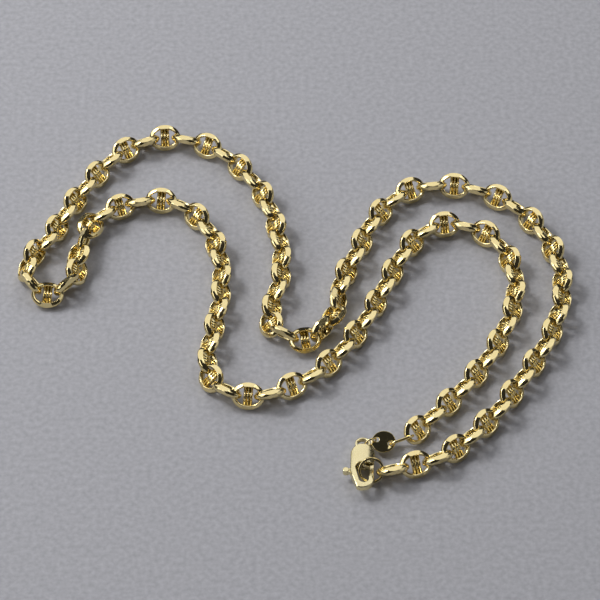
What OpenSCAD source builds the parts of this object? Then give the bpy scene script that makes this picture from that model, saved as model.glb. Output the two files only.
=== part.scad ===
// Mariner link chain: a necklace laid on a flat surface, fastened by a lobster clasp.
// X runs to the right, Y away from the viewer, Z up. Lengths in millimetres.

/* [Mariner link] */
// Length of one link, end to end
link_length = 5.8; // [5.5:0.1:6.1]
// Width of one link, side to side
link_width = 4.8; // [4.6:0.1:4.9]
// Depth of the band, across the plane of the link
link_depth = 1.5; // [1.3:0.05:1.6]
// Thickness of the band, outside to inside
link_wall = 0.55; // [0.45:0.05:0.65]
// Width of the facet along the outer edges, on the flat of the link
facet_width = 0.3; // [0.2:0.05:0.35]
// Height of the same facet, on the outside of the band
facet_height = 0.5; // [0.4:0.05:0.6]
// Rounding of the inner edges
inner_ease = 0.25; // [0.15:0.05:0.3]
// Thickness of the sides at the ends of the bar
cheek_width = 0.8; // [0.7:0.05:0.85]
// Depth of these thicker sides
cheek_depth = 0.8; // [0.7:0.05:0.8]
// Width of the bar across the middle
bar_width = 1.3; // [1.1:0.05:1.4]
// Thickness of the bar
bar_depth = 0.8; // [0.6:0.05:0.9]
// Tilt of a link on its edge, to either side in turn
link_lean = 45; // [44:1:46]

/* [Lobster clasp] */
// Width of the claw body
claw_width = 4.1; // [3.9:0.05:4.3]
// Length from the middle of the eye to the tip of the claw
claw_length = 11; // [10.6:0.1:11.4]
// Distance from the middle of the eye to the widest place
shoulder_place = 2.9; // [2.7:0.1:3.1]
// Thickness of the body at its middle
claw_height = 2.2; // [2.1:0.05:2.4]
// Radius of the rounding across the body
cross_dome = 4.45; // [4.3:0.05:5]
// Radius of the rounding along the body
long_dome = 46; // [40:1:60]
// Slant of the back towards the tip, in degrees
back_slant = 19; // [15:1:20]
// Width of the opening in the claw
mouth_width = 2.3; // [2.2:0.05:2.4]
// Metal between the opening and the tip
tip_wall = 1.15; // [1:0.05:1.3]
// Length of the opening
mouth_length = 4.5; // [4.3:0.05:4.7]
// Outside diameter of the eye
eye_size = 2.7; // [2.6:0.05:2.8]
// Width of the metal round the eye
eye_wall = 0.42; // [0.36:0.02:0.46]
// Height of the eye
eye_height = 0.8; // [0.6:0.05:0.85]

/* [Clasp lever] */
// Thickness of the lever inside the body
lever_height = 0.6; // [0.5:0.05:0.65]
// Thickness of the gate
gate_height = 0.8; // [0.7:0.05:0.85]
// Width of the gate
gate_width = 0.7; // [0.6:0.05:0.75]
// Diameter of the pin that the lever turns on
pin_size = 0.7; // [0.6:0.05:0.8]
// How far the thumb piece stands out from the side
thumb_reach = 1.3; // [1.1:0.05:1.5]
// Width of the thumb piece
thumb_width = 1.1; // [0.9:0.05:1.2]
// Thickness of its rounded end
thumb_height = 1; // [0.7:0.05:1.1]

/* [Rings and tag] */
// Outside diameter of the ring in the claw
claw_ring_size = 4.5; // [4.4:0.05:4.55]
// Thickness of its band, outside to inside
claw_ring_wall = 0.36; // [0.32:0.01:0.4]
// Depth of its band
claw_ring_depth = 1; // [0.9:0.05:1.05]
// Outside diameter of the small jump ring
jump_size = 2.6; // [2.55:0.05:2.7]
// Wire diameter of the jump ring
jump_wire = 0.35; // [0.3:0.01:0.36]
// Outside length of the plain oval link
oval_length = 4.6; // [4.55:0.05:4.65]
// Outside width of the plain oval link
oval_width = 2.5; // [2.4:0.05:2.6]
// Wire diameter of the oval link
oval_wire = 0.45; // [0.4:0.01:0.47]
// Diameter of the round tag
tag_size = 4.15; // [4:0.05:4.2]
// Thickness of the tag
tag_height = 0.35; // [0.3:0.01:0.4]
// Diameter of the holes in the tag
tag_hole = 0.95; // [0.9:0.05:1.1]

/* [Hidden] */
$fn = 48;

// Clearances
link_gap = 0.1;
slot_gap = 0.1;
pin_gap = 0.06;
gate_gap = 0.12;

// Distance between links: as close as the bar allows, and this much play.
link_play = 0.35;
link_pitch = link_length/2 + bar_width/2 + link_gap + link_play;

// The way that the chain lies, a row for each chosen link: its number from the claw ring, its place
// to the right and away, its lift off the surface and its turn about the run of the chain, in
// degrees. Places are for a pitch of route_pitch and follow the pitch in use.
route_pitch = 4;
route = [
    [1, 15.8, -38.9, 0, 0],
    [3, 23.5, -36.4, 0, 0],
    [6, 32.1, -28.6, 0, 0],
    [9, 38.9, -18.4, 0, 0],
    [12, 44.5, -7.5, 0, 0],
    [15, 46.9, 4.5, 0, 0],
    [18, 44.1, 15.9, 0, 0],
    [21, 36.1, 25.2, 0, 0],
    [23, 28.3, 28.1, 0, 0],
    [25, 20.2, 27.0, 0, 0],
    [27, 14.7, 21.5, 0, 0],
    [30, 9.8, 10.3, 0, 0],
    [32, 7.2, 3.3, 0, 0],
    [33, 6.8, -0.4, 0.2, -15],
    [34, 5.9, -4.0, 0.2, -20],
    [35, 3.9, -7.2, 0.4, -40],
    [36, 0.9, -9.6, 0, -70],
    [37, -2.7, -8.4, 0.4, -75],
    [38, -5.1, -5.6, -0.2, -80],
    [39, -5.0, -1.8, 0, -90],
    [41, -3.4, 6.0, 0, -90],
    [44, -4.4, 18.1, 0, -90],
    [47, -8.7, 29.5, 0, -90],
    [50, -17.2, 38.4, 0, -90],
    [52, -25.1, 40.5, 0, -90],
    [54, -32.2, 37.3, 0, -90],
    [57, -39.3, 27.6, 0, -90],
    [59, -42.6, 21.0, 0, -90],
    [61, -45.7, 14.2, 0, -90],
    [62, -47.8, 11.1, 0.2, -100],
    [63, -48.9, 7.5, 0.1, -90],
    [64, -48.0, 3.9, 0.4, -105],
    [65, -45.0, 1.4, -0.3, -110],
    [66, -41.7, 3.4, 0.4, -110],
    [67, -40.0, 6.7, 0.2, -90],
    [68, -39.9, 10.5, 0.3, -75],
    [69, -39.0, 14.1, 0.4, -40],
    [70, -38.0, 17.7, 0.4, -20],
    [71, -35.8, 20.7, 0.1, 0],
    [72, -32.8, 22.8, 0, 0],
    [75, -21.8, 23.2, 0, 0],
    [76, -18.8, 20.4, 0, 0],
    [78, -15.2, 13.4, 0, 0],
    [81, -14.1, 1.6, 0, 0],
    [83, -15.1, -6.3, 0, 0],
    [85, -16.2, -14.4, 0, 0],
    [86, -15.5, -18.3, -0.1, -5],
    [87, -12.7, -21.1, 0, 0],
    [88, -9.0, -22.5, 0, 0],
    [89, -5.2, -21.9, 0, 0],
    [91, 2.1, -17.8, 0, 0],
    [94, 9.8, -8.2, 0, 0],
    [97, 15.1, 2.9, 0, 0],
    [99, 18.2, 10.3, 0, 0],
    [101, 22.8, 16.7, 0, 0],
    [102, 26.2, 18.4, 0, 0],
    [103, 30.1, 17.9, 0, 0],
    [104, 33.6, 16.1, 0, 0],
    [106, 37.7, 9.7, 0, 0],
    [108, 38.4, 1.8, 0, 0],
    [111, 34.8, -10.2, 0, 0],
    [114, 28.4, -20.7, 0, 0],
    [117, 20.2, -30.1, 0, 0]
];
link_count = route[len(route) - 1][0];

// Columns of the route
LINK = 0;
SIDE = 1;
AWAY = 2;
LIFT = 3;
TURN = 4;

// The clasp, in the same places as the route's, drawn with its eye at its own origin and its claw
// along its own X
clasp_place = [10.8, -32.4, 0.95];
clasp_heading = -92;
clasp_rise = 7;
mouth_start = claw_length - tip_wall - mouth_length;
function from_clasp(v) =
    let (along = v.x*cos(clasp_rise) - v.z*sin(clasp_rise), up = v.x*sin(clasp_rise) + v.z*cos(clasp_rise))
    clasp_place + [
        along*cos(clasp_heading) - v.y*sin(clasp_heading),
        along*sin(clasp_heading) + v.y*cos(clasp_heading),
        up
    ];

// The ring in the claw: past the start of the opening, in from the side of the body and up from its middle
ring_past = 1.33;
ring_in = 0.47;
ring_up = 0.29;
claw_ring_place = from_clasp([mouth_start + ring_past, claw_width/2 - ring_in, ring_up]);
claw_ring_heading = -2;
claw_ring_lean = 48;

// The route starts at this ring place, and the first links follow the ring where it is moved from there
route_start = [12.15, -39.05, 2.05];
links_that_follow = 24;
function follow(k) = max(0, 1 - k/links_that_follow)*(claw_ring_place - route_start);

// The oval link, jump ring and tag in the same places as the route's
oval_place = [17.45, -32.25, 1.95];
oval_heading = 196;
oval_lean = 54;
oval_dip = 12;
jump_place = [12.05, -32.3, 1.3];
jump_heading = 27;
jump_lean = 100;
tag_place = [14.35, -32.4, 1.6];
tag_heading = -20;
tag_tilt = 12;
tag_hole_place = 1.28;

// Value in one column of the route at link k, by a smooth curve through the chosen rows
function row_before(k) = max([for (i = [0:len(route) - 2]) if (route[i][LINK] <= k || i == 0) i]);
function rate(i, c) = (route[i + 1][c] - route[i][c])/(route[i + 1][LINK] - route[i][LINK]);
function run(i) = route[i + 1][LINK] - route[i][LINK];
function blend(i, c) = (rate(i, c)*run(i - 1) + rate(i - 1, c)*run(i))/(run(i) + run(i - 1));
function row_slope(i, c) = i == 0 ? rate(0, c) : i == len(route) - 1 ? rate(i - 1, c) : blend(i, c);
function curve(a, b, slope_a, slope_b, t) =
    a*(2*t^3 - 3*t^2 + 1) + b*(3*t^2 - 2*t^3) + slope_a*(t^3 - 2*t^2 + t) + slope_b*(t^3 - t^2);
function on_route(k, c) =
    let (i = row_before(k), n = run(i))
    curve(route[i][c], route[i + 1][c], row_slope(i, c)*n, row_slope(i + 1, c)*n, (k - route[i][LINK])/n);

// Place and attitude of link k: it faces along the chain and leans to either side in turn
function spot(k) =
    [on_route(k, SIDE), on_route(k, AWAY), on_route(k, LIFT)]*link_pitch/route_pitch + follow(k);
function reach_past(k) = spot(min(k + 1, link_count)) - spot(max(k - 1, 1));
function heading(k) = atan2(reach_past(k).y, reach_past(k).x);
function dip(k) = -atan2(reach_past(k).z, norm([reach_past(k).x, reach_past(k).y]));
function lean(k) = (k % 2 == 0 ? link_lean : -link_lean) + on_route(k, TURN);

// Half extent of a link along a direction given in the link's own axes
function link_reach(d) =
    let (flat = norm([d.x, d.y]), up = abs(d.z))
    (link_length - link_width)/2*abs(d.x) + link_width/2*flat
    + max((link_depth/2 - facet_height)*up, link_depth/2*up - facet_width*flat);
function link_extent(h, p, r) = [
    link_reach([cos(h)*cos(p), cos(h)*sin(p)*sin(r) - sin(h)*cos(r), cos(h)*sin(p)*cos(r) + sin(h)*sin(r)]),
    link_reach([sin(h)*cos(p), sin(h)*sin(p)*sin(r) + cos(h)*cos(r), sin(h)*sin(p)*cos(r) - cos(h)*sin(r)]),
    link_reach([-sin(p), cos(p)*sin(r), cos(p)*cos(r)])
];
function extent(k) = link_extent(heading(k), dip(k), lean(k));

// The middle of the whole outline and the lowest link, which set the origin
all_links = [for (k = [1:link_count]) [spot(k), extent(k)]];
claw_tip_away = clasp_place.y - claw_length*cos(clasp_rise);
left_edge = min([for (l = all_links) l[0].x - l[1].x]);
right_edge = max([for (l = all_links) l[0].x + l[1].x]);
far_edge = max([for (l = all_links) l[0].y + l[1].y]);
lowest = min([for (l = all_links) l[0].z - l[1].z]);
origin = [(left_edge + right_edge)/2, (claw_tip_away + far_edge)/2, 0];

// Cross section of a link's band, outer surface on the axis of x = 0
module band_section() {
    polygon([
        [0, facet_height - link_depth/2],
        [0, link_depth/2 - facet_height],
        [-facet_width, link_depth/2],
        [-link_wall, link_depth/2 - inner_ease],
        [-link_wall, inner_ease - link_depth/2],
        [-facet_width, -link_depth/2]
    ]);
}

module link_end() {
    translate([(link_length - link_width)/2, 0, 0])
    rotate_extrude(angle=180, start=-90)
    translate([link_width/2, 0])
    band_section();
}

module link_side() {
    translate([0, link_width/2, 0])
    rotate([90, 0, 90])
    linear_extrude(link_length - link_width, center=true)
    band_section();
}

module link_bar() {
    bevel = bar_depth/4;
    rotate([90, 0, 0])
    linear_extrude(link_width - link_wall, center=true)
    polygon([
        [-bar_width/2, -bar_depth/2 + bevel],
        [-bar_width/2 + bevel, -bar_depth/2],
        [bar_width/2 - bevel, -bar_depth/2],
        [bar_width/2, -bar_depth/2 + bevel],
        [bar_width/2, bar_depth/2 - bevel],
        [bar_width/2 - bevel, bar_depth/2],
        [-bar_width/2 + bevel, bar_depth/2],
        [-bar_width/2, bar_depth/2 - bevel]
    ]);
}

// The sides are thicker at the ends of the bar, with a flat inside
module link_cheeks() {
    linear_extrude(cheek_depth, center=true)
    difference() {
        stadium(-(link_length - link_wall)/2, (link_length - link_wall)/2, link_width - link_wall);
        square([2*link_length, link_width - 2*cheek_width], center=true);
    }
}

module mariner_link() {
    link_end();
    mirror([1, 0, 0]) link_end();
    link_side();
    mirror([0, 1, 0]) link_side();
    link_cheeks();
    link_bar();
}

module chain(first, last) {
    for (k = [first:last])
        translate(spot(k) - [0, 0, lowest] - origin)
        rotate([lean(k), dip(k), heading(k)])
        mariner_link();
}

half_way = ceil(link_count/2);

module chain_first_half() {
    color("gold") chain(1, half_way);
}

module chain_second_half() {
    color("goldenrod") chain(half_way + 1, link_count);
}

// Lobster clasp, its gate on the +Y side
pivot_place = 4.3;
pivot_offset = 0.2;
pivot = [pivot_place, pivot_offset];
gate_reach = 4.2;
slot_start = 3.3;
slot_end = 7.5;
thumb_end = 7.35;
inner_strip = 0.3;
hub_size = 1.5;
back_start = 7.2;
mouth_tip_radius = 0.85;
mouth_tip_offset = 0.35;

module in_clasp_place() {
    translate(clasp_place - origin)
    rotate([0, -clasp_rise, clasp_heading])
    children();
}

module stadium(start, end, width) {
    translate([start + width/2, 0]) circle(width/2);
    translate([end - width/2, 0]) circle(width/2);
    translate([start + width/2, -width/2]) square([end - start - width, width]);
}

// Surfaces that round the body over, crosswise and lengthwise. Each lies above the body or below it,
// as side says, and the lengthwise one starts dome_step further out, so that they cross cleanly.
dome_step = 0.05;

module across(side) {
    translate([0, 0, side*(cross_dome - claw_height/2)])
    rotate([0, 90, 0])
    cylinder(r=cross_dome, h=3*claw_length, center=true, $fn=180);
}

module along(side) {
    translate([shoulder_place, 0, side*(long_dome - claw_height/2 - dome_step)])
    rotate([90, 0, 0])
    cylinder(r=long_dome, h=2*claw_width, center=true, $fn=720);
}

// Circles at two places with the straight sides between them
module taper(start, start_radius, end, end_radius) {
    run = end - start;
    turn = atan2(run.y, run.x);
    spread = acos((start_radius - end_radius)/norm(run));
    translate(start) circle(start_radius);
    translate(end) circle(end_radius);
    polygon([
        start + start_radius*[cos(turn + spread), sin(turn + spread)],
        start + start_radius*[cos(turn - spread), sin(turn - spread)],
        end + end_radius*[cos(turn - spread), sin(turn - spread)],
        end + end_radius*[cos(turn + spread), sin(turn + spread)]
    ]);
}

module mouth_outline() {
    mouth_end = mouth_start + mouth_length - mouth_tip_radius;
    taper([mouth_start + mouth_width/2, 0], mouth_width/2, [mouth_end, mouth_tip_offset], mouth_tip_radius);
}

module pillow() {
    intersection() {
        linear_extrude(2*claw_height, center=true)
        stadium(shoulder_place - claw_width/2, claw_length, claw_width);
        across(1);
        across(-1);
        along(1);
        along(-1);
    }
}

// What the slanted back leaves out
module behind_back() {
    translate([back_start, -claw_width/2, 0])
    rotate([0, 0, back_slant])
    translate([-claw_length, -claw_width, -claw_height])
    cube([2*claw_length, claw_width, 2*claw_height]);
}

// The way that the gate closes, cut through the wall on the gate's side
module gateway() {
    linear_extrude(2*claw_height, center=true)
    intersection() {
        translate([mouth_start, mouth_width/4]) square([claw_length, claw_width]);
        translate(pivot) circle(gate_reach + gate_gap, $fn=120);
    }
}

// Slot in the middle of the body's thickness for the lever, open at both sides
module lever_slot() {
    linear_extrude(lever_height + 2*slot_gap, center=true) {
        translate([slot_start, -claw_width]) square([mouth_start + mouth_width/2 - slot_start, 2*claw_width]);
        translate([slot_start, -claw_width])
        square([slot_end - slot_start, claw_width - mouth_width/2 - inner_strip]);
    }
}

module clasp_body() {
    color("palegoldenrod")
    in_clasp_place()
    difference() {
        union() {
            difference() {
                pillow();
                linear_extrude(2*claw_height, center=true) mouth_outline();
                behind_back();
                gateway();
                lever_slot();
            }
            translate(pivot) cylinder(d=pin_size, h=lever_height + 4*slot_gap, center=true);
            cylinder(d=eye_size, h=eye_height, center=true);
        }
        cylinder(d=eye_size - 2*eye_wall, h=2*claw_height, center=true);
    }
}

// Lever: a thumb piece on one side of the pin and the gate on the other
edge = claw_width/2 - slot_gap/2;
thumb_side = -edge - thumb_reach + thumb_width/2;

module lever_outline() {
    arm_in = mouth_width/2 + inner_strip + slot_gap;
    translate(pivot) circle(d=hub_size);
    polygon([
        [pivot.x - hub_size/4, -pivot.y],
        [pivot.x - hub_size/4, -edge + 2*slot_gap],
        [pivot.x, -edge],
        [thumb_end - thumb_width, -edge],
        [thumb_end - thumb_width, thumb_side],
        [thumb_end, thumb_side],
        [thumb_end, -arm_in],
        [mouth_start, -arm_in],
        [pivot.x + hub_size/2, -pivot.y]
    ]);
    polygon([
        [pivot.x - hub_size/4, hub_size/2],
        [pivot.x + hub_size/4, edge],
        [mouth_start + gate_width, edge],
        [mouth_start + gate_width, edge - gate_width],
        [pivot.x + hub_size/2, pivot.y - hub_size/4]
    ]);
}

module gate_outline() {
    intersection() {
        translate([mouth_start + slot_gap, edge - gate_width])
        square([claw_length, gate_width]);
        translate(pivot) circle(gate_reach, $fn=120);
    }
}

module clasp_lever() {
    color("khaki")
    in_clasp_place()
    difference() {
        union() {
            linear_extrude(lever_height, center=true) lever_outline();
            linear_extrude(gate_height, center=true) gate_outline();
            translate([thumb_end - thumb_width/2, thumb_side])
            cylinder(d=thumb_width, h=thumb_height, center=true);
        }
        translate(pivot) cylinder(d=pin_size + 2*pin_gap, h=2*claw_height, center=true);
    }
}

module claw_ring() {
    color("gold")
    translate(claw_ring_place - origin)
    rotate([claw_ring_lean, 0, claw_ring_heading])
    difference() {
        cylinder(d=claw_ring_size, h=claw_ring_depth, center=true);
        cylinder(d=claw_ring_size - 2*claw_ring_wall, h=2*claw_ring_depth, center=true);
    }
}

module jump_ring() {
    color("gold")
    translate(jump_place - origin)
    rotate([jump_lean, 0, jump_heading])
    rotate_extrude()
    translate([(jump_size - jump_wire)/2, 0])
    circle(d=jump_wire);
}

module oval_link() {
    straight = oval_length - oval_width;
    bend = (oval_width - oval_wire)/2;
    color("gold")
    translate(oval_place - origin)
    rotate([oval_lean, oval_dip, oval_heading])
    for (side = [-1, 1]) {
        translate([side*straight/2, 0, 0])
        rotate_extrude(angle=180, start=-90*side)
        translate([bend, 0])
        circle(d=oval_wire);
        translate([0, side*bend, 0])
        rotate([0, 90, 0])
        cylinder(d=oval_wire, h=straight, center=true);
    }
}

module tag() {
    color("darkgoldenrod")
    translate(tag_place - origin)
    rotate([tag_tilt, 0, tag_heading])
    linear_extrude(tag_height, center=true)
    difference() {
        circle(d=tag_size);
        for (side = [-1, 1])
            translate([side*tag_hole_place, 0]) circle(d=tag_hole);
    }
}

chain_first_half();
chain_second_half();
clasp_body();
clasp_lever();
claw_ring();
jump_ring();
tag();
oval_link();
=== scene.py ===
import math

import bmesh
import bpy
import numpy as np
from mathutils import Matrix, Vector


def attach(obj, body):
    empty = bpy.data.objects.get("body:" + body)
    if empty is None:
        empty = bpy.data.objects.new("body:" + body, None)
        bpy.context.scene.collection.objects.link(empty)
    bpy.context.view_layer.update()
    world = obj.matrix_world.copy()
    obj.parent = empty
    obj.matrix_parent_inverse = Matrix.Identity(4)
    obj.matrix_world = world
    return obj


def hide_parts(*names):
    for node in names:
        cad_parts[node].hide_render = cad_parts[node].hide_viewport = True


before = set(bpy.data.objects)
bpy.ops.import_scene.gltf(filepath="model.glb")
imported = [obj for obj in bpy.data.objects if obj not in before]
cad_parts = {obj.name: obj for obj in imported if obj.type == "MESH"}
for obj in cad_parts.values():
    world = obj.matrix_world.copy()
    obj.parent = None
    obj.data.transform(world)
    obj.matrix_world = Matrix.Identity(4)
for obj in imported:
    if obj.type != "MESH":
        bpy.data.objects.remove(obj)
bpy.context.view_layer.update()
mm = 0.001  # everything below is given in millimetres
print("frame loaded:", len(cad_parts), "nodes")


# Camera: a long lens looking down at the laid chain from the near side
camera = {
    "elevation": 48,  # degrees above the table
    "distance": 605,
    "aim": (1.006, 0.381, 2.0),  # the place in the middle of the picture
    "focal": 3400,  # focal length in picture pixels
    "picture": 600,  # side of the picture in pixels
    "sensor": 36,
    "nearest": 50,  # nothing nearer or farther than this is drawn
    "farthest": 5000,
}


def makeCamera(c):
    data = bpy.data.cameras.new("camera")
    data.sensor_width = c["sensor"]
    data.lens = c["sensor"] * c["focal"] / c["picture"]
    data.clip_start = c["nearest"] * mm
    data.clip_end = c["farthest"] * mm
    tilt = math.radians(c["elevation"])
    back = Vector((0, -math.cos(tilt), math.sin(tilt)))
    made = bpy.data.objects.new("camera", data)
    made.location = (Vector(c["aim"]) + back * c["distance"]) * mm
    made.rotation_euler = (math.pi / 2 - tilt, 0, 0)
    bpy.context.scene.collection.objects.link(made)
    bpy.context.scene.camera = made


makeCamera(camera)
print("camera placed")


# Distances below which two points count as one
tiny = {"copied": 0.0005, "cut": 0.001, "spun": 0.002}


# Small helpers for pieces and materials
def hexColour(code):
    parts = [int(code[i : i + 2], 16) / 255 for i in (0, 2, 4)]
    return [p / 12.92 if p <= 0.04045 else ((p + 0.055) / 1.055) ** 2.4 for p in parts] + [1]


def addNode(tree, kind, inputs=None, **settings):
    node = tree.nodes.new(kind)
    for name, value in settings.items():
        setattr(node, name, value)
    for name, value in (inputs or {}).items():
        if isinstance(value, bpy.types.NodeSocket):
            tree.links.new(value, node.inputs[name])
        else:
            node.inputs[name].default_value = value
    return node


def newMaterial(name):
    material = bpy.data.materials.new(name)
    material.use_nodes = True
    tree = material.node_tree
    tree.nodes.clear()
    return material, tree


def newPiece(name, mesh, material, body, node):
    made = bpy.data.objects.new(name, mesh)
    bpy.context.scene.collection.objects.link(made)
    made.data.materials.clear()
    made.data.materials.append(material)
    made.data.shade_smooth()
    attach(made, body)
    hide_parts(node)
    print(name, "made:", len(made.data.polygons), "faces")
    return made


def meshFrom(solid, name):
    mesh = bpy.data.meshes.new(name)
    solid.to_mesh(mesh)
    solid.free()
    return mesh


def mergedCopy(node):
    solid = bmesh.new()
    solid.from_mesh(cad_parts[node].data)
    bmesh.ops.remove_doubles(solid, verts=solid.verts, dist=tiny["copied"] * mm)
    return solid


def roundOff(solid, geom, offset, steps, affect):
    bmesh.ops.bevel(
        solid,
        geom=geom,
        offset=offset * mm,
        offset_type="OFFSET",
        segments=steps,
        profile=0.5,
        affect=affect,
        material=-1,
    )


def keepFlats(piece):
    keep = piece.modifiers.new("flat faces stay flat", "WEIGHTED_NORMAL")
    keep.keep_sharp = True


# What all the gold has in common
gold = {
    "cloudSize": 1.5,  # of the places where the metal is a little duller
    "cloudDetail": 2.0,
    "markDetail": 3.0,
    "marks": (0.3, 0.7),  # the faintest and the strongest marks
    "gloss": (0.7, 1.4),  # share of the roughness that they give
    "bump": 0.25,
}


# Gold: colour of the metal, colour where it is a little duller, gloss and the fine marks of its finish
def goldMaterial(name, colour, deep, rough, markSize, markDepth):
    material, tree = newMaterial(name)
    place = addNode(tree, "ShaderNodeTexCoord").outputs["Object"]
    cloudInputs = {"Vector": place, "Scale": 1 / (gold["cloudSize"] * mm), "Detail": gold["cloudDetail"]}
    cloud = addNode(tree, "ShaderNodeTexNoise", cloudInputs)
    tint = addNode(
        tree,
        "ShaderNodeMix",
        {0: cloud.outputs["Fac"], 6: hexColour(deep), 7: hexColour(colour)},
        data_type="RGBA",
    )
    markInputs = {"Vector": place, "Scale": 1 / (markSize * mm), "Detail": gold["markDetail"]}
    marks = addNode(tree, "ShaderNodeTexNoise", markInputs)
    gloss = addNode(
        tree,
        "ShaderNodeMapRange",
        {
            "Value": marks.outputs["Fac"],
            "From Min": gold["marks"][0],
            "From Max": gold["marks"][1],
            "To Min": rough * gold["gloss"][0],
            "To Max": rough * gold["gloss"][1],
        },
    )
    bump = addNode(
        tree,
        "ShaderNodeBump",
        {"Height": marks.outputs["Fac"], "Strength": gold["bump"], "Distance": markDepth * mm},
    )
    shader = addNode(
        tree,
        "ShaderNodeBsdfPrincipled",
        {
            "Base Color": tint.outputs["Result"],
            "Roughness": gloss.outputs["Result"],
            "Normal": bump.outputs["Normal"],
            "Metallic": 1.0,
        },
    )
    addNode(tree, "ShaderNodeOutputMaterial", {"Surface": shader.outputs["BSDF"]})
    return material


# Tumbled links: soft mirror, pale yellow where they catch the light
linkGold = goldMaterial("yellow_gold_tumbled_links", "f6e6b0", "edd798", 0.13, 0.25, 0.005)
# Cast clasp: satin, so its reflections run out into each other
claspGold = goldMaterial("yellow_gold_satin_casting", "f0e4b6", "e9daa8", 0.22, 0.2, 0.005)
# Drawn wire: smooth and bright
ringGold = goldMaterial("yellow_gold_drawn_wire", "f6e6b0", "efda9c", 0.14, 0.25, 0.008)
# Stamped sheet: nearly a mirror
tagGold = goldMaterial("yellow_gold_stamped_sheet", "f2e2ac", "ecd798", 0.07, 0.4, 0.004)
print("materials made")


# A closed loop of one cross section: two half turns and the straight runs between them.
# The section's points are its distance out from the outer surface and its height.
def addLoop(solid, section, straight, reach, soft, softSteps, turnSteps):
    corners = [solid.verts.new(Vector((straight / 2, -reach - x, z)) * mm) for x, z in section]
    face = solid.faces.new(corners)
    if soft:
        roundOff(solid, corners, soft, softSteps, "VERTICES")
        face = solid.faces[:][-1]
    edges = list(face.edges)
    bmesh.ops.delete(solid, geom=[face], context="FACES_ONLY")
    for side in (1, -1):
        spun = bmesh.ops.spin(
            solid,
            geom=edges,
            cent=Vector((side * straight / 2, 0, 0)) * mm,
            axis=(0, 0, 1),
            angle=math.pi,
            steps=turnSteps,
            use_merge=False,
            use_duplicate=False,
        )
        edges = [e for e in spun["geom_last"] if isinstance(e, bmesh.types.BMEdge)]
        if straight:
            drawn = bmesh.ops.extrude_edge_only(solid, edges=edges)["geom"]
            ends = [v for v in drawn if isinstance(v, bmesh.types.BMVert)]
            bmesh.ops.translate(solid, vec=Vector((-straight * side, 0, 0)) * mm, verts=ends)
            edges = [e for e in drawn if isinstance(e, bmesh.types.BMEdge)]
    bmesh.ops.remove_doubles(solid, verts=solid.verts, dist=tiny["spun"] * mm)


def addBar(solid, section, halfLength, soft, softSteps):
    corners = [solid.verts.new(Vector((x, -halfLength, z)) * mm) for x, z in section]
    solid.faces.new(corners)
    roundOff(solid, corners, soft, softSteps, "VERTICES")
    face = solid.faces[:][-1]
    drawn = bmesh.ops.extrude_face_region(solid, geom=[face])["geom"]
    ends = [v for v in drawn if isinstance(v, bmesh.types.BMVert)]
    bmesh.ops.translate(solid, vec=Vector((0, 2 * halfLength, 0)) * mm, verts=ends)


# Mariner link: an oval ring of band, thick at its sides, with a grooved bar across it. The chain is
# filed flat along its top and sides, which cuts a crescent face on each link.
link = {
    "length": 5.8,
    "width": 4.8,
    "depth": 1.5,
    "wall": 0.55,
    "facetWidth": 0.4,
    "facetHeight": 0.5,
    "holeLength": 4.35,
    "holeWidth": 3.1,
    "filedHeight": 3.42,  # thickness of the chain between the filed faces
    "innerEase": 0.25,
    "edge": 0.07,  # how far the band's edges are worn round
    "edgeSteps": 2,
    "turnSteps": 18,  # for half of the ring
    "barWidth": 1.6,
    "barDepth": 0.8,
    "barEdge": 0.07,
    "shoulder": 0.6,  # height of the bar at its sides, as a share of its height in the middle
    "grooves": (-0.24, 0.3),  # their places across the bar
    "grooveWidth": 0.28,
    "grooveDepth": 0.32,
    "downward": -0.9,  # a filed face that points down more than this rests on the table
}

filedFaces = [Vector((0, side, up)).normalized() for side in (1, -1) for up in (1, -1)]


def fileFlat(solid, normal, reach):
    cut = bmesh.ops.bisect_plane(
        solid,
        geom=solid.verts[:] + solid.edges[:] + solid.faces[:],
        dist=tiny["cut"] * mm,
        plane_co=normal * reach * mm,
        plane_no=normal,
        clear_outer=True,
    )
    rim = [e for e in cut["geom_cut"] if isinstance(e, bmesh.types.BMEdge)]
    for face in bmesh.ops.holes_fill(solid, edges=rim, sides=0)["faces"]:
        for e in face.edges:
            e.smooth = False


# The round ring is drawn out to the oval's length, and its hole to the hole's length and width
def drawOut(solid, d):
    hole = d["width"] / 2 - d["wall"]
    for v in solid.verts:
        share = (math.hypot(v.co.x, v.co.y) / mm - hole) / d["wall"]
        v.co.x *= share * d["length"] / d["width"] + (1 - share) * d["holeLength"] / 2 / hole
        v.co.y *= share + (1 - share) * d["holeWidth"] / 2 / hole


def linkShape(d, filed):
    half = d["depth"] / 2
    section = [
        (0, d["facetHeight"] - half),
        (0, half - d["facetHeight"]),
        (-d["facetWidth"], half),
        (-d["wall"], half - d["innerEase"]),
        (-d["wall"], d["innerEase"] - half),
        (-d["facetWidth"], -half),
    ]
    solid = bmesh.new()
    addLoop(solid, section, 0, d["width"] / 2, d["edge"], d["edgeSteps"], d["turnSteps"])
    drawOut(solid, d)
    for normal in filed:
        fileFlat(solid, normal, d["filedHeight"] / 2)
    bar = bmesh.new()
    w, h, g = d["barWidth"] / 2, d["barDepth"] / 2, d["grooveWidth"] / 2
    deep = h - d["grooveDepth"]
    grooves = [p for at in d["grooves"] for p in ((at - g, h), (at, deep), (at + g, h))]
    side = h * d["shoulder"]
    upper = [(-w, side), (-w + g, h)] + grooves + [(w - g, h), (w, side)]
    around = upper + [(-x, -z) for x, z in upper]
    addBar(bar, around, (d["holeWidth"] + d["wall"]) / 2, d["barEdge"], d["edgeSteps"])
    barMesh = meshFrom(bar, "bar")
    solid.from_mesh(barMesh)
    bpy.data.meshes.remove(barMesh)
    bmesh.ops.recalc_face_normals(solid, faces=solid.faces)
    return meshFrom(solid, "link")


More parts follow.
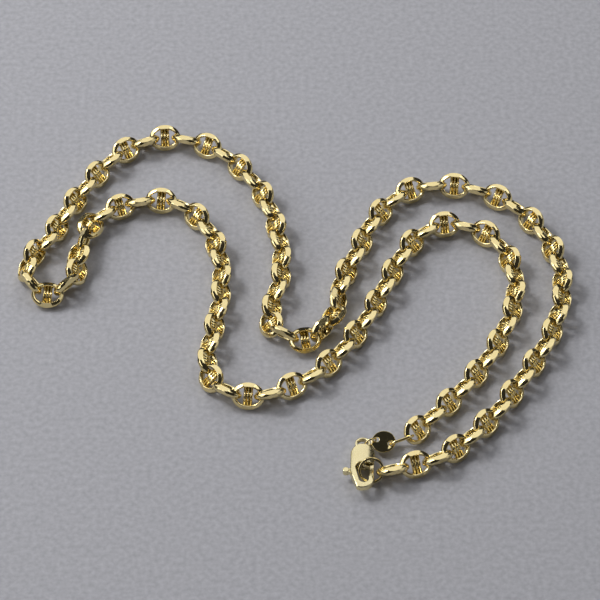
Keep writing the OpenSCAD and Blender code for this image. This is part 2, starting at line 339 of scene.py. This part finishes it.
def islands(solid):
    left = set(solid.verts)
    while left:
        seen = {left.pop()}
        edge = list(seen)
        while edge:
            near = {e.other_vert(v) for v in edge for e in v.link_edges} & left
            left -= near
            seen |= near
            edge = list(near)
        yield seen


# Place and attitude of each solid of a node: its longest way is X and its shortest is Z
def posesOf(node):
    solid = mergedCopy(node)
    poses = []
    for part in islands(solid):
        faces = {f for v in part for f in v.link_faces}
        bmesh.ops.triangulate(solid, faces=[f for f in faces if len(f.verts) > 3])
        faces = {f for v in part for f in v.link_faces}
        corners = np.array([[v.co for v in f.verts] for f in faces])
        area = np.array([f.calc_area() for f in faces])
        middle = (area[:, None] * corners.mean(1)).sum(0) / area.sum()
        corners -= middle
        points = np.concatenate([corners, corners.sum(1, keepdims=True)], 1)
        spread = np.einsum("t,tpi,tpj->ij", area, points, points)
        axes = np.linalg.eigh(spread)[1]
        longest, middling = axes[:, 2], axes[:, 1]
        turn = Matrix(np.column_stack([longest, middling, np.cross(longest, middling)]).tolist())
        poses.append(Matrix.Translation(Vector(middle.tolist())) @ turn.to_4x4())
    solid.free()
    return poses


# A link is left unfiled where it rests on the table
def makeChain(name, node, shapes):
    chain = bmesh.new()
    for pose in posesOf(node):
        before = len(chain.verts)
        under = [i for i, normal in enumerate(filedFaces) if (pose.to_3x3() @ normal).z < link["downward"]]
        chain.from_mesh(shapes[under[0] if under else -1])
        chain.verts.ensure_lookup_table()
        bmesh.ops.transform(chain, matrix=pose, verts=chain.verts[before:])
    made = newPiece(name, meshFrom(chain, name), linkGold, "necklace", node)
    keepFlats(made)


shapes = [linkShape(link, [f for f in filedFaces if f != under]) for under in filedFaces + [None]]
makeChain("links_first_half", "chain_first_half", shapes)
makeChain("links_second_half", "chain_second_half", shapes)
for shape in shapes:
    bpy.data.meshes.remove(shape)


# Rings: each one is placed by its CAD solid
def circleSection(diameter, steps):
    r = diameter / 2
    turns = [2 * math.pi * k / steps for k in range(steps)]
    return [(-r + r * math.cos(a), r * math.sin(a)) for a in turns]


def makeRing(name, node, section, straight, d):
    solid = bmesh.new()
    addLoop(solid, section, straight, d["size"] / 2, d["worn"], d["wornSteps"], d["turnSteps"])
    bmesh.ops.recalc_face_normals(solid, faces=solid.faces)
    bmesh.ops.transform(solid, matrix=posesOf(node)[0], verts=solid.verts)
    return newPiece(name, meshFrom(solid, name), ringGold, "necklace", node)


def flatSection(wall, depth):
    half = depth / 2
    return [(0, -half), (0, half), (-wall, half), (-wall, -half)]


bandRing = {"size": 4.5, "wall": 0.44, "depth": 1.0, "worn": 0.12, "wornSteps": 3, "turnSteps": 48}
band = makeRing(
    "band_ring",
    "claw_ring",
    flatSection(bandRing["wall"], bandRing["depth"]),
    0,
    bandRing,
)
keepFlats(band)

wireRing = {"size": 2.6, "wire": 0.35, "wireSteps": 16, "worn": 0, "wornSteps": 0, "turnSteps": 36}
makeRing(
    "wire_jump_ring",
    "jump_ring",
    circleSection(wireRing["wire"], wireRing["wireSteps"]),
    0,
    wireRing,
)

wireLink = {
    "length": 4.6,
    "size": 2.5,  # its width
    "wire": 0.52,
    "wireSteps": 18,
    "worn": 0,
    "wornSteps": 0,
    "turnSteps": 24,
}
makeRing(
    "wire_oval_link",
    "oval_link",
    circleSection(wireLink["wire"], wireLink["wireSteps"]),
    wireLink["length"] - wireLink["size"],
    wireLink,
)


# Clasp: cast, so every edge of its CAD solids is worn round
clasp = {
    "voxel": 0.06,
    "worn": 18,  # rounds of smoothing
    "leverVoxel": 0.045,
    "leverWorn": 7,
    "softness": 0.5,  # of one round
}


def wornCopy(node, voxel, rounds):
    solid = mergedCopy(node)
    bmesh.ops.scale(solid, vec=(1 / mm, 1 / mm, 1 / mm), verts=solid.verts)
    raw = bpy.data.objects.new("raw", meshFrom(solid, "raw"))
    bpy.context.scene.collection.objects.link(raw)
    remesh = raw.modifiers.new("voxels", "REMESH")
    remesh.mode = "VOXEL"
    remesh.voxel_size = voxel
    smooth = raw.modifiers.new("worn", "SMOOTH")
    smooth.factor = clasp["softness"]
    smooth.iterations = rounds
    mesh = bpy.data.meshes.new_from_object(raw.evaluated_get(bpy.context.evaluated_depsgraph_get()))
    bpy.data.objects.remove(raw)
    mesh.transform(Matrix.Scale(mm, 4))
    return mesh


wornBody = wornCopy("clasp_body", clasp["voxel"], clasp["worn"])
newPiece("cast_body", wornBody, claspGold, "necklace", "clasp_body")
wornLever = wornCopy("clasp_lever", clasp["leverVoxel"], clasp["leverWorn"])
newPiece("cast_lever", wornLever, claspGold, "lever", "clasp_lever")


# Tag: stamped sheet with soft rims
tag = {
    "rim": 0.09,
    "rimSteps": 3,
    "flat": 1,  # faces that meet at fewer degrees are made one
    "sharp": 60,  # edges of more degrees are rims
}


def makeTag(d):
    solid = mergedCopy("tag")
    flat, sharp = math.radians(d["flat"]), math.radians(d["sharp"])
    bmesh.ops.dissolve_limit(solid, angle_limit=flat, verts=solid.verts, edges=solid.edges)
    rims = [e for e in solid.edges if e.is_manifold and e.calc_face_angle() > sharp]
    roundOff(solid, rims, d["rim"], d["rimSteps"], "EDGES")
    made = newPiece("stamped_tag", meshFrom(solid, "stamped_tag"), tagGold, "necklace", "tag")
    keepFlats(made)


makeTag(tag)


# Floor: matt grey card
floor = {
    "half": 900,
    "dark": "9b9ba1",
    "light": "cacad0",
    "fibre": 0.9,  # size of the card's grain
    "detail": 4.0,
    "roughness": 0.9,
    "bump": 0.3,
    "bumpHeight": 0.06,
}


def greyCard(name, d):
    material, tree = newMaterial(name)
    place = addNode(tree, "ShaderNodeTexCoord").outputs["Object"]
    fibreInputs = {"Vector": place, "Scale": 1 / (d["fibre"] * mm), "Detail": d["detail"]}
    fibre = addNode(tree, "ShaderNodeTexNoise", fibreInputs)
    tint = addNode(
        tree,
        "ShaderNodeMix",
        {0: fibre.outputs["Fac"], 6: hexColour(d["dark"]), 7: hexColour(d["light"])},
        data_type="RGBA",
    )
    bump = addNode(
        tree,
        "ShaderNodeBump",
        {"Height": fibre.outputs["Fac"], "Strength": d["bump"], "Distance": d["bumpHeight"] * mm},
    )
    shader = addNode(
        tree,
        "ShaderNodeBsdfPrincipled",
        {
            "Base Color": tint.outputs["Result"],
            "Roughness": d["roughness"],
            "Normal": bump.outputs["Normal"],
        },
    )
    addNode(tree, "ShaderNodeOutputMaterial", {"Surface": shader.outputs["BSDF"]})
    return material


def makeFloor(d):
    solid = bmesh.new()
    bmesh.ops.create_grid(solid, x_segments=1, y_segments=1, size=d["half"] * mm)
    made = bpy.data.objects.new("floor", meshFrom(solid, "floor"))
    bpy.context.scene.collection.objects.link(made)
    made.data.materials.append(greyCard("grey_card", d))


makeFloor(floor)


# Lights: soft boxes, each with its azimuth from +Y towards +X, elevation, distance, size and radiance
lights = {
    "key": {"azimuth": -60, "elevation": 50, "distance": 800, "size": (240, 240), "radiance": 11.0},
    "left": {"azimuth": -78, "elevation": 38, "distance": 820, "size": (700, 560), "radiance": 1.7},
    "back": {"azimuth": -14, "elevation": 44, "distance": 900, "size": (1200, 800), "radiance": 0.94},
    "high_right": {"azimuth": 52, "elevation": 60, "distance": 900, "size": (460, 340), "radiance": 1.3},
    "right_low": {"azimuth": 100, "elevation": 20, "distance": 900, "size": (800, 420), "radiance": 0.55},
    "left_low": {"azimuth": -120, "elevation": 28, "distance": 900, "size": (600, 420), "radiance": 1.6},
}


def makeLight(name, d):
    data = bpy.data.lights.new(name, "AREA")
    data.shape = "RECTANGLE"
    width, height = [side * mm for side in d["size"]]
    data.size, data.size_y = width, height
    data.energy = d["radiance"] * math.pi * width * height
    turn, rise = math.radians(d["azimuth"]), math.radians(d["elevation"])
    out = Vector((math.sin(turn) * math.cos(rise), math.cos(turn) * math.cos(rise), math.sin(rise)))
    made = bpy.data.objects.new(name, data)
    made.location = out * d["distance"] * mm
    made.rotation_euler = out.to_track_quat("Z", "Y").to_euler()
    bpy.context.scene.collection.objects.link(made)


for name, d in lights.items():
    makeLight(name, d)

room = {"colour": "77777c", "strength": 0.12}  # the dim room around
world = bpy.data.worlds.new("room")
bpy.context.scene.world = world
world.use_nodes = True
around = world.node_tree.nodes["Background"]
around.inputs["Color"].default_value = hexColour(room["colour"])
around.inputs["Strength"].default_value = room["strength"]
bpy.context.scene.view_settings.view_transform = "Standard"  # bright metal keeps its colour
print("lights and floor made")
